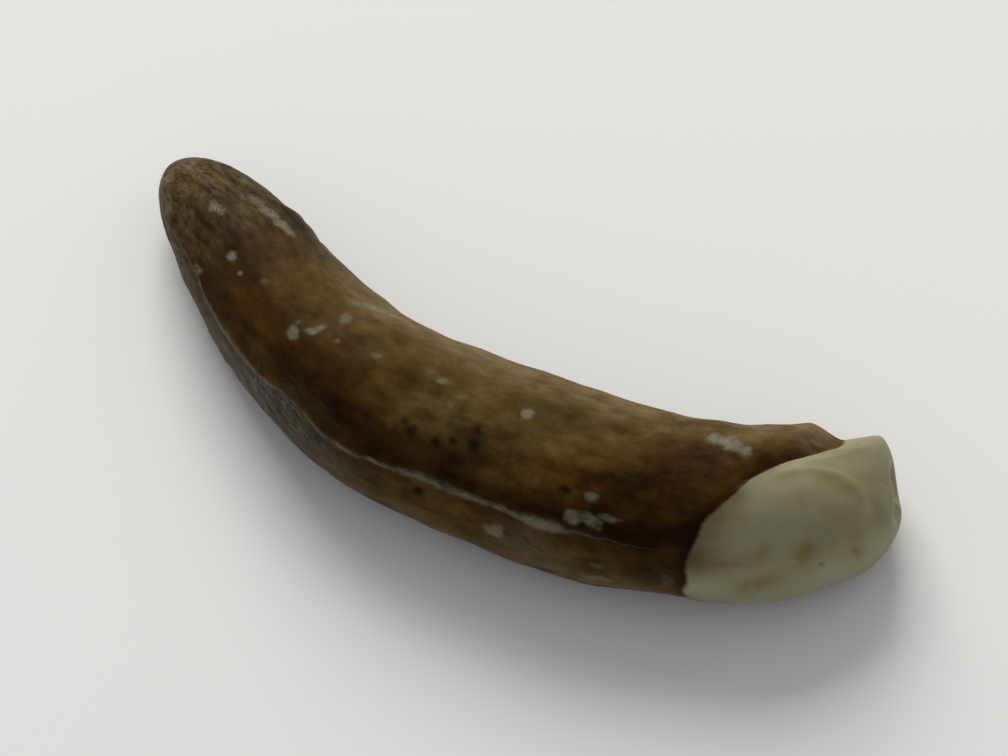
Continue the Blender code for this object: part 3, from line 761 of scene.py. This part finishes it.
def fine_root_relief(along, angle, straight, crust):
    """Fibres, grain, lumps, pits and crusts of the root."""
    fibres = stretched_noise(straight, FIBRES) * (1.0 + TIP_FIBRE_SHARE * tip_zone(along))
    height = fibres + stretched_noise(straight, GRAIN) + stretched_noise(straight, LUMPS)
    height = height - PITS[0] * pits(along, straight)
    crust_grain = 1.0 + stretched_noise(straight, CRUST_GRAIN)
    height = height * (1.0 - CRUST_FILLING * crust) + CRUST_HEIGHT * crust * crust_grain
    return height * (1.0 - UNDERSIDE_WEAR * underside(angle))


def fine_enamel_relief(straight):
    return stretched_noise(straight, ENAMEL_UNEVEN) + stretched_noise(straight, ENAMEL_GRAIN)


def bite_chips(points):
    """Moves points that lie inside a chip's ball out to its surface, with a soft brim."""
    for middle, radius in CHIPS:
        away = points - middle
        far = np.linalg.norm(away, axis=-1, keepdims=True)
        kept = 0.5 * (far + radius + np.hypot(far - radius, CHIP_SOFTNESS))
        points = middle + away * (kept / far)
    return points


def straighten(along, angle):
    """Places on a tooth whose centre line is straight, so that grain can follow its length."""
    out = section_radius(along, angle) * end_share(along, angle)
    turn = np.radians(angle)
    return np.stack([along, out * np.cos(turn), out * np.sin(turn)], -1)


def surface_point(along, angle, crust):
    """Points of the tooth's surface at places along it and angles round it."""
    kept = end_share(along, angle)
    radius = section_radius(along, angle)
    straight = straighten(along, angle)
    on_root = 1.0 - smooth_step((along - enamel_edge(angle)) / ENAMEL_STEP_RUN)
    rough = root_relief(along, angle, radius) + fine_root_relief(along, angle, straight, crust)
    height = on_root * rough + (1.0 - on_root) * fine_enamel_relief(straight)
    height = height + band_relief(along, angle, radius) + crown_relief(along, angle, radius)
    radius = (radius + height) * kept
    turn = np.radians(angle)
    way = read_line(LINE_WAYS, along)
    lip_way = np.stack([way[..., 1], -way[..., 0]], -1)
    plan = read_line(LINE_POINTS, along) + lip_way * (radius * np.cos(turn))[..., None]
    rise = CROWN_RISE * smooth_step((along - CROWN_RISE_START) / CROWN_RISE_LENGTH)
    upright = spline(HALF_DEPTH, along) + rise + radius * np.sin(turn)
    upright = np.where(upright < FLAT_HEIGHT, FLAT_HEIGHT, upright)
    return bite_chips(np.concatenate([plan, upright[..., None]], -1))


def column_angles(places):
    """Angles round the tooth for a grid of places, rings first, with a column on each ridge."""
    column = np.arange(places.shape[1])
    step = np.minimum(column, places.shape[1] - column)
    side_start = BAND_COLUMNS + VALLEY_COLUMNS
    edge = band_half_angle(places)
    past_valley = edge + VALLEY_SPREAD
    on_band = edge * step / BAND_COLUMNS
    in_valley = edge + VALLEY_SPREAD * (step - BAND_COLUMNS) / VALLEY_COLUMNS
    on_side = past_valley + (180.0 - past_valley) * (step - side_start) / SIDE_COLUMNS
    beyond = np.where(step <= side_start, in_valley, on_side)
    angles = np.where(step <= BAND_COLUMNS, on_band, beyond)
    return np.where(column == step, angles, -angles)


def ring_places(angles):
    """Places along the tooth for a grid of angles; rings slant to follow the enamel's edge."""
    edge = enamel_edge(angles)
    last = edge_rounding(angles)
    quarter = 0.5 * math.pi
    rows = []
    for i in range(1, TIP_RINGS + 1):
        rows.append(np.full(angles.shape[1], TIP_ROUNDING * (1.0 - math.cos(quarter * i / TIP_RINGS))))
    for i in range(1, ROOT_RINGS + 1):
        rows.append(TIP_ROUNDING + (edge[len(rows)] - TIP_ROUNDING) * i / ROOT_RINGS)
    for i in range(1, STEP_RINGS + 1):
        rows.append(edge[len(rows)] + STEP_RINGS_LENGTH * i / STEP_RINGS)
    for i in range(1, CROWN_RINGS + 1):
        rim = edge[len(rows)] + STEP_RINGS_LENGTH
        rows.append(rim + (LENGTH - last[len(rows)] - rim) * i / CROWN_RINGS)
    for i in range(1, EDGE_RINGS):
        rows.append(LENGTH - last[len(rows)] * (1.0 - math.sin(quarter * i / EDGE_RINGS)))
    return np.array(rows)


def tooth_grid():
    """Places and angles of the rings' points: each depends on the other, so passes settle them."""
    rings = TIP_RINGS + ROOT_RINGS + STEP_RINGS + CROWN_RINGS + EDGE_RINGS - 1
    columns = 2 * (BAND_COLUMNS + VALLEY_COLUMNS + SIDE_COLUMNS)
    places = np.full((rings, columns), 0.5 * LENGTH)
    for _ in range(GRID_PASSES):
        angles = column_angles(places)
        places = ring_places(angles)
    return places, angles


def local_offsets(along, angle, radius, place, facing):
    """How far each point lies along and round the tooth from a place on it."""
    aside = np.radians((angle - facing + 180.0) % 360.0 - 180.0) * radius
    return along - place * MM, aside


def zone_field(along, angle, radius, zones):
    """The sum of soft round zones."""
    field = np.zeros(along.shape)
    for place, facing, half_length, half_breadth, amount in zones:
        ahead, aside = local_offsets(along, angle, radius, place, facing)
        field += amount * bump(np.hypot(ahead / (half_length * MM), aside / (half_breadth * MM)))
    return field


def strewn_crusts():
    """More crusts, on the underside and the far side."""
    draw = np.random.default_rng(STREWN_SEED)
    rows = []
    for _ in range(STREWN_CRUSTS):
        place, facing, size, slimness, turn, amount = [draw.uniform(*span) for span in STREWN_RANGES]
        rows.append((place, facing, size, size * slimness, turn, amount))
    return tuple(rows)


def crust_field(along, angle, radius, straight):
    """How thickly the chalky crust covers each point, from 0 to 1."""
    cover = np.zeros(along.shape)
    rag_seed, ahead_seed, aside_seed = CRUST_SEEDS
    ragged = CRUST_RAGGEDNESS * layered_noise(straight / CRUST_RAG_SIZE, rag_seed)
    warp_ahead = CRUST_WARP * layered_noise(straight / CRUST_WARP_SIZE, ahead_seed)
    warp_aside = CRUST_WARP * layered_noise(straight / CRUST_WARP_SIZE, aside_seed)
    for place, facing, half_length, half_breadth, turn, amount in CRUSTS + strewn_crusts():
        ahead, aside = local_offsets(along, angle, radius, place, facing)
        ahead = ahead + warp_ahead
        aside = aside + warp_aside
        cos = math.cos(math.radians(turn))
        sin = math.sin(math.radians(turn))
        lengthwise = (cos * ahead + sin * aside) / half_length
        sideways = (cos * aside - sin * ahead) / half_breadth
        far = np.hypot(lengthwise, sideways) / (CRUST_SCALE * MM)
        inside = smooth_step(0.5 + (1.0 - far + ragged) / (2.0 * CRUST_SOFTNESS))
        cover = np.maximum(cover, amount * inside)
    return cover


def tone_field(along, angle):
    """How light the root is before its zones and mottling: darkest beside the enamel band and lighter
    on its upper side and rims, partly painted shade and light.
    """
    near_tip = smooth_step((TIP_TONE_END - along) / TIP_TONE_FADE)
    return near_tip * spline(TIP_TONE, angle) + (1.0 - near_tip) * spline(ROOT_TONE, angle)


def dot_field(along, angle, radius, dots):
    """Small round spots, from 0 to 1."""
    field = np.zeros(along.shape)
    for place, facing, size, amount in dots:
        ahead, aside = local_offsets(along, angle, radius, place, facing)
        field = np.maximum(field, amount * bump(np.hypot(ahead, aside) / (size * MM)))
    return field


def ridge_line(along, beside):
    """Distance from the middle of the ridge's pale line, in half breadths of it."""
    half_breadth = np.interp(along, RIDGE_LINE[:, 0], RIDGE_LINE[:, 1])
    return np.abs(beside + RIDGE_LINE_OFFSET_SHARE * half_breadth) / half_breadth


def ring_mark_field(along, angle, radius):
    field = np.zeros(along.shape)
    for place, facing, size in RING_MARKS:
        ahead, aside = local_offsets(along, angle, radius, place, facing)
        far = np.hypot(ahead, aside) - size * MM
        field = np.maximum(field, bump(far / RING_HALF_BREADTH))
    return field


def surface_fields(along, angle, straight):
    """Everything the material reads from the surface's points, by name."""
    radius = section_radius(along, angle)
    beside = np.radians(np.abs(angle) - band_half_angle(along)) * radius
    past_edge = along - enamel_edge(angle)
    (ahead, aside), distance, opened = groove_place(along, angle, radius)
    upper = smooth_step((np.abs(angle) - PALE_RIM_START) / PALE_RIM_FADE)
    from_lip = smooth_step((np.abs(angle) - THIN_RIM_START) / THIN_RIM_FADE)
    shades = zone_field(along, angle, radius, SHADE_ZONES)
    # Painted shade in the valley beside the band.
    valley = bump((beside - VALLEY_SHADE_OFFSET) / VALLEY_SHADE_BREADTH) * band_strength(along)
    towards = CRESCENT_TOWARDS[0] * ahead + CRESCENT_TOWARDS[1] * aside
    crescent = bump((distance - CRESCENT_DISTANCE) / CRESCENT_HALF_SPREAD)
    crescent = crescent * smooth_step((towards - CRESCENT_START) / CRESCENT_FADE)
    tint_reach = np.interp(np.abs(angle), ENAMEL_TINT[:, 0], ENAMEL_TINT[:, 1])
    fields = {
        "enamel_tint": past_edge / MM + tint_reach,
        "beside_band": beside / MM,
        "ridge_line": ridge_line(along, beside),
        "ridge_cover": 1.0 - smooth_step((along - RIDGE_LINE_END) / RIDGE_LINE_FADE),
        # Tone, partly painted shade and light, with painted shade in the valley beside the band.
        "tone": tone_field(along, angle) + SHADE_SHARE * shades - VALLEY_SHADE * valley,
        "pits": pits(along, straight),
        "tip_zone": tip_zone(along),
        "crust": crust_field(along, angle, radius, straight),
        "ring_marks": ring_mark_field(along, angle, radius),
        "groove": bump((distance - GROOVE_DISTANCE) / GROOVE_HALF_SPREAD) * opened,
        "crescent": crescent,
        "from_bite": (LENGTH - along) / MM,
        # Painted highlight along the enamel's upper edge.
        "pale_rim": upper * bump(past_edge / PALE_RIM_LENGTH),
        "thin_rim": (1.0 - upper) * from_lip * bump(past_edge / THIN_RIM_LENGTH),
        # Painted shadow along the enamel's edge.
        "edge_shadow": bump(past_edge / EDGE_SHADOW_LENGTH),
    }
    for name, zones in FIELD_ZONES.items():
        fields[name] = zone_field(along, angle, radius, zones)
    for name, dots in FIELD_DOTS.items():
        fields[name] = dot_field(along, angle, radius, dots)
    return fields


def tooth_surface():
    """The fine surface, with its fields, placed in the solid's box."""
    places, angles = tooth_grid()
    pole_places = np.array([[0.0], [LENGTH]])
    pole_angles = np.zeros((2, 1))
    along = np.concatenate([places.ravel(), pole_places.ravel()])
    angle = np.concatenate([angles.ravel(), pole_angles.ravel()])
    straight = straighten(along, angle)
    fields = surface_fields(along, angle, straight)
    points = surface_point(along, angle, fields["crust"])
    low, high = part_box("tooth")
    middle = 0.5 * (points.min(axis=0) + points.max(axis=0))
    origin = np.array([
        middle[0] - 0.5 * (low.x + high.x),
        middle[1] - 0.5 * (low.y + high.y),
        points[:, 2].min() - low.z,
    ])
    rings, columns = places.shape
    grid = np.arange(rings * columns).reshape(rings, columns)
    near, far = grid[:-1], grid[1:]
    quads = np.stack([near, far, np.roll(far, -1, 1), np.roll(near, -1, 1)], -1).reshape(-1, 4)
    tip, bite = rings * columns, rings * columns + 1
    faces = quads.tolist()
    for i in range(columns):
        j = (i + 1) % columns
        faces.append((tip, int(grid[0, i]), int(grid[0, j])))
        faces.append((int(grid[-1, i]), bite, int(grid[-1, j])))
    mesh = bpy.data.meshes.new("tooth_surface")
    mesh.from_pydata((points - origin).tolist(), [], faces)
    for name, values in fields.items():
        mesh.attributes.new(name, "FLOAT", "POINT").data.foreach_set("value", values)
    grain = mesh.attributes.new("straight", "FLOAT_VECTOR", "POINT")
    grain.data.foreach_set("vector", (straight / MM).ravel())
    mesh.shade_smooth()
    return new_object("tooth_surface", mesh), origin


class Nodes:
    """Short ways to add shader nodes to a material."""

    def __init__(self, material):
        self.tree = material.node_tree

    def put(self, kind, inputs, **settings):
        node = self.tree.nodes.new(kind)
        for name, value in settings.items():
            setattr(node, name, value)
        for place, value in inputs.items():
            if isinstance(value, bpy.types.NodeSocket):
                self.tree.links.new(value, node.inputs[place])
            else:
                node.inputs[place].default_value = value
        return node

    def field(self, name):
        return self.put("ShaderNodeAttribute", {}, attribute_name=name).outputs["Fac"]

    def noise(self, name, turn=0.0):
        """A named noise in straightened places, which a turn lays aslant on the band."""
        along, across, detail, roughness, distortion = NOISES[name]
        places = self.put("ShaderNodeAttribute", {}, attribute_name="straight").outputs["Vector"]
        if turn:
            inputs = {"Vector": places, "Axis": (0.0, 1.0, 0.0), "Angle": math.radians(turn)}
            places = self.put("ShaderNodeVectorRotate", inputs).outputs["Vector"]
        inputs = {0: places, 1: (along, across, across)}
        scaled = self.put("ShaderNodeVectorMath", inputs, operation="MULTIPLY").outputs[0]
        inputs = {"Vector": scaled, "Scale": 1.0, "Detail": detail, "Roughness": roughness}
        inputs["Distortion"] = distortion
        return self.put("ShaderNodeTexNoise", inputs).outputs["Fac"]

    def math(self, operation, first, second=0.0):
        return self.put("ShaderNodeMath", {0: first, 1: second}, operation=operation).outputs[0]

    def times(self, first, second):
        return self.math("MULTIPLY", first, second)

    def plus(self, first, second):
        return self.math("ADD", first, second)

    def share(self, name):
        """A field times its share."""
        return self.times(self.field(name), SHARES[name])

    def at_most(self, value, limit):
        return self.math("MINIMUM", value, limit)

    def step(self, name, value):
        """A named smooth step of a value."""
        low, high, start, end = STEPS[name]
        inputs = {"Value": value, "From Min": low, "From Max": high, "To Min": start, "To Max": end}
        node = self.put("ShaderNodeMapRange", inputs, interpolation_type="SMOOTHSTEP")
        return node.outputs["Result"]

    def patches(self, name, turn=0.0):
        """The smooth step of the noise of the same name."""
        return self.step(name, self.noise(name, turn))

    def centred(self, name):
        """A named noise about 0, times its share."""
        return self.times(self.math("SUBTRACT", self.noise(name), 0.5), SHARES[name])

    def mix(self, share, first, second, way="MIX"):
        colours = {0: share}
        for place, value in ((6, first), (7, second)):
            colours[place] = (*value, 1.0) if isinstance(value, tuple) else value
        return self.put("ShaderNodeMix", colours, data_type="RGBA", blend_type=way).outputs[2]

    def ramp(self, value, stops):
        node = self.put("ShaderNodeValToRGB", {"Fac": value})
        elements = node.color_ramp.elements
        while len(elements) < len(stops):
            elements.new(0.5)
        for element, (place, colour) in zip(elements, stops):
            element.position = place
            element.color = (*colour, 1.0)
        return node.outputs["Color"]


def new_material(name):
    """A new material and its shader."""
    material = bpy.data.materials.new(name)
    material.use_nodes = True
    return material, material.node_tree.nodes["Principled BSDF"]


def new_object(name, data):
    made = bpy.data.objects.new(name, data)
    bpy.context.scene.collection.objects.link(made)
    return made


def root_tone(nodes):
    """How light the root is, mottled, with the painted shade and light of its tone field: 0 is darkest
    and 1 lightest.
    """
    tone = nodes.plus(nodes.field("tone"), nodes.centred("broad"))
    tone = nodes.plus(tone, nodes.centred("blotches"))
    # Painted shadow along the enamel's edge.
    tone = nodes.plus(tone, nodes.share("edge_shadow"))
    fibrous = nodes.plus(nodes.share("grey"), nodes.share("tip_zone"))
    tone = nodes.plus(tone, nodes.times(nodes.centred("fibres"), fibrous))
    return nodes.plus(tone, nodes.centred("specks"))


def root_colour(nodes):
    """Mottled brown cementum, tinted by its zones, with pits, spots, a painted sheen and the pale
    ridge.
    """
    tone = root_tone(nodes)
    colour = nodes.ramp(tone, CEMENTUM_RAMP)
    brightness = nodes.step("brightness", tone)
    patchy = nodes.patches("patchy")
    for name, tint, amount in TINTS:
        laid = nodes.times(nodes.times(nodes.field(name), patchy), amount)
        tinted = nodes.mix(1.0, tint, brightness, "MULTIPLY")
        colour = nodes.mix(nodes.at_most(laid, TINT_LIMIT), colour, tinted)
    flecks = nodes.times(nodes.patches("flecks"), nodes.field("tip_zone"))
    flecks = nodes.at_most(nodes.plus(nodes.field("pits"), flecks), 1.0)
    colour = nodes.mix(nodes.times(flecks, FLECK_SHARE), colour, FLECK_COLOUR)
    colour = nodes.mix(spot_cover(nodes), colour, SPOT_COLOUR)
    # Painted sheen on the band, streaked with hair scratches.
    sheen_hairs = nodes.ramp(nodes.noise("sheen_hairs", HAIR_TURN), PAINTED_SHEEN_RAMP)
    colour = nodes.mix(painted_sheen_cover(nodes), colour, sheen_hairs)
    colour = nodes.mix(ridge_cover(nodes), colour, RIDGE_COLOUR)
    return nodes.mix(crust_cover(nodes), colour, chalk_colour(nodes))


def chalk_colour(nodes):
    """Pale chalk, deeper in patches and ring marks, and cracked near the tip."""
    chalk = nodes.mix(nodes.patches("chalk"), CHALK_DEEP_COLOUR, CHALK_COLOUR)
    chalk = nodes.mix(nodes.share("ring_marks"), chalk, CHALK_DEEP_COLOUR)
    cracks = nodes.step("cracks", nodes.math("ABSOLUTE", nodes.centred("crackle")))
    return nodes.mix(nodes.times(cracks, nodes.field("tip_zone")), chalk, FLECK_COLOUR)


def spot_cover(nodes):
    ragged = nodes.centred("spot_rags")
    return nodes.step("spots", nodes.plus(nodes.field("dark_spots"), ragged))


def crust_cover(nodes):
    ragged = nodes.centred("crust_rags")
    return nodes.step("crusts", nodes.plus(nodes.field("crust"), ragged))


def painted_sheen_cover(nodes):
    """Patchy painted blue-grey sheen on the enamel band, which crosses its edge in thin strands."""
    on_band = nodes.step("on_band", nodes.field("beside_band"))
    reach = nodes.math("MAXIMUM", on_band, nodes.patches("strands", HAIR_TURN))
    patches = nodes.patches("painted_sheen", HAIR_TURN)
    painted_sheen = nodes.times(nodes.times(nodes.field("painted_sheen"), reach), patches)
    return nodes.at_most(painted_sheen, PAINTED_SHEEN_LIMIT)


def ridge_cover(nodes):
    """The pale line along the band's edge, broken in places."""
    ragged = nodes.centred("ridge_rags")
    line = nodes.step("ridge_line", nodes.plus(nodes.field("ridge_line"), ragged))
    return nodes.times(nodes.times(line, nodes.patches("ridge_breaks")), nodes.field("ridge_cover"))


def enamel_colour(nodes):
    """Pearly cream enamel with a clear zone, paler rims and zones that are partly painted highlight
    and floor light, stains and faint growth lines.
    """
    colour = nodes.mix(nodes.patches("cloud"), ENAMEL_COLOUR, ENAMEL_PALE_COLOUR)
    colour = nodes.mix(PLAIN_ENAMEL_SHARE, colour, ENAMEL_COLOUR)
    colour = nodes.mix(nodes.share("clear"), colour, ENAMEL_CLEAR_COLOUR)
    # Paler rims and zones, partly painted highlight and floor light.
    rims = nodes.plus(nodes.share("pale_rim"), nodes.step("bite", nodes.field("from_bite")))
    pale = nodes.plus(nodes.field("pale"), nodes.share("crescent"))
    pale = nodes.at_most(nodes.times(nodes.plus(rims, pale), PALE_SHARE), PALE_LIMIT)
    colour = nodes.mix(pale, colour, ENAMEL_PALE_COLOUR)
    stain = nodes.plus(nodes.share("stains"), nodes.share("groove"))
    stain = nodes.at_most(nodes.times(stain, nodes.patches("stains")), STAIN_LIMIT)
    colour = nodes.mix(stain, colour, STAIN_COLOUR)
    dull = nodes.plus(nodes.share("dull"), nodes.share("thin_rim"))
    colour = nodes.mix(nodes.at_most(dull, STAIN_LIMIT), colour, STAIN_DEEP_COLOUR)
    colour = nodes.mix(nodes.share("stain_dots"), colour, STAIN_DEEP_COLOUR)
    return nodes.mix(1.0, colour, nodes.patches("growth_lines"), "MULTIPLY")


def enamel_share(nodes):
    ragged = nodes.centred("enamel_rags")
    return nodes.step("enamel", nodes.plus(nodes.field("enamel_tint"), ragged))


def bumps(nodes, enamel):
    """Fibres and grit too fine for the mesh, fainter on the enamel."""
    fibre_share = nodes.plus(nodes.field("grey"), FIBRE_RELIEF_LEAST)
    fibres = nodes.times(nodes.noise("fibre_relief"), fibre_share)
    grit = nodes.times(nodes.noise("grit"), GRIT_SHARE)
    relief = nodes.plus(nodes.times(fibres, FIBRE_RELIEF_SHARE), grit)
    inputs = {"Height": relief, "Distance": BUMP_HEIGHT, "Strength": nodes.step("relief", enamel)}
    return nodes.put("ShaderNodeBump", inputs).outputs["Normal"]


def roughness(nodes, enamel):
    root = nodes.plus(nodes.patches("root_roughness"), nodes.times(crust_cover(nodes), CRUST_ROUGHNESS))
    inputs = {0: enamel, 2: root, 3: nodes.patches("enamel_roughness")}
    return nodes.put("ShaderNodeMix", inputs, data_type="FLOAT").outputs[0]


def tooth_material():
    """One material for the whole tooth, parted at the enamel's edge."""
    material, shader = new_material("tooth")
    nodes = Nodes(material)
    enamel = enamel_share(nodes)
    inputs = {
        "Base Color": nodes.mix(enamel, root_colour(nodes), enamel_colour(nodes)),
        "Roughness": roughness(nodes, enamel),
        "Normal": bumps(nodes, enamel),
        "Subsurface Weight": nodes.times(enamel, GLOW_SHARE),
    }
    for place, value in inputs.items():
        material.node_tree.links.new(value, shader.inputs[place])
    shader.inputs["Specular IOR Level"].default_value = SPECULAR_LEVEL
    shader.inputs["Subsurface Radius"].default_value = GLOW_RADIUS
    shader.inputs["Subsurface Scale"].default_value = GLOW_SCALE
    return material


def floor():
    """A plain pale floor."""
    bpy.ops.mesh.primitive_plane_add(size=FLOOR_SIZE)
    plane = bpy.context.object
    plane.name = "floor"
    material, shader = new_material("floor")
    shader.inputs["Base Color"].default_value = FLOOR_COLOUR
    shader.inputs["Roughness"].default_value = FLOOR_ROUGHNESS
    plane.data.materials.append(material)


def light():
    """Soft daylight from above and behind, and an even pale surround."""
    world = bpy.data.worlds.new("surround")
    world.use_nodes = True
    background = world.node_tree.nodes["Background"]
    background.inputs["Color"].default_value = SURROUND_COLOUR
    background.inputs["Strength"].default_value = SURROUND_STRENGTH
    bpy.context.scene.world = world
    lamp = bpy.data.lights.new("window", "AREA")
    lamp.shape = "SQUARE"
    lamp.size = LAMP_SIZE
    lamp.energy = LAMP_POWER
    lamp.color = LAMP_COLOUR
    holder = new_object("window", lamp)
    holder.location = LAMP_AT
    holder.rotation_euler = (-Vector(LAMP_AT)).to_track_quat("-Z", "Y").to_euler()
    bpy.context.scene.view_settings.view_transform = "Standard"


def camera(origin):
    """Looks down at the tooth, with the centre line's origin where the photo has it."""
    data = bpy.data.cameras.new("camera")
    data.sensor_width = SENSOR
    data.lens = SENSOR * CAMERA_DISTANCE * PIXELS_PER_METRE / PICTURE_WIDTH
    data.clip_start = CLIP_START
    data.clip_end = CLIP_END
    right = Vector((1.0, 0.0, 0.0))
    up = Vector((0.0, math.sin(CAMERA_ELEVATION), math.cos(CAMERA_ELEVATION)))
    back = right.cross(up)
    aim = -Vector(origin)
    aim += right * (0.5 * PICTURE_WIDTH - LINE_ORIGIN_AT[0]) / PIXELS_PER_METRE
    aim += up * (LINE_ORIGIN_AT[1] - 0.5 * PICTURE_HEIGHT) / PIXELS_PER_METRE
    holder = new_object("camera", data)
    turn = Matrix((right, up, back)).transposed().to_4x4()
    holder.matrix_world = Matrix.Translation(aim + back * CAMERA_DISTANCE) @ turn
    bpy.context.scene.camera = holder


def main():
    surface, origin = tooth_surface()
    surface.data.materials.append(tooth_material())
    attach(surface, "root")
    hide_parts("tooth")
    floor()
    light()
    camera(origin)


main()
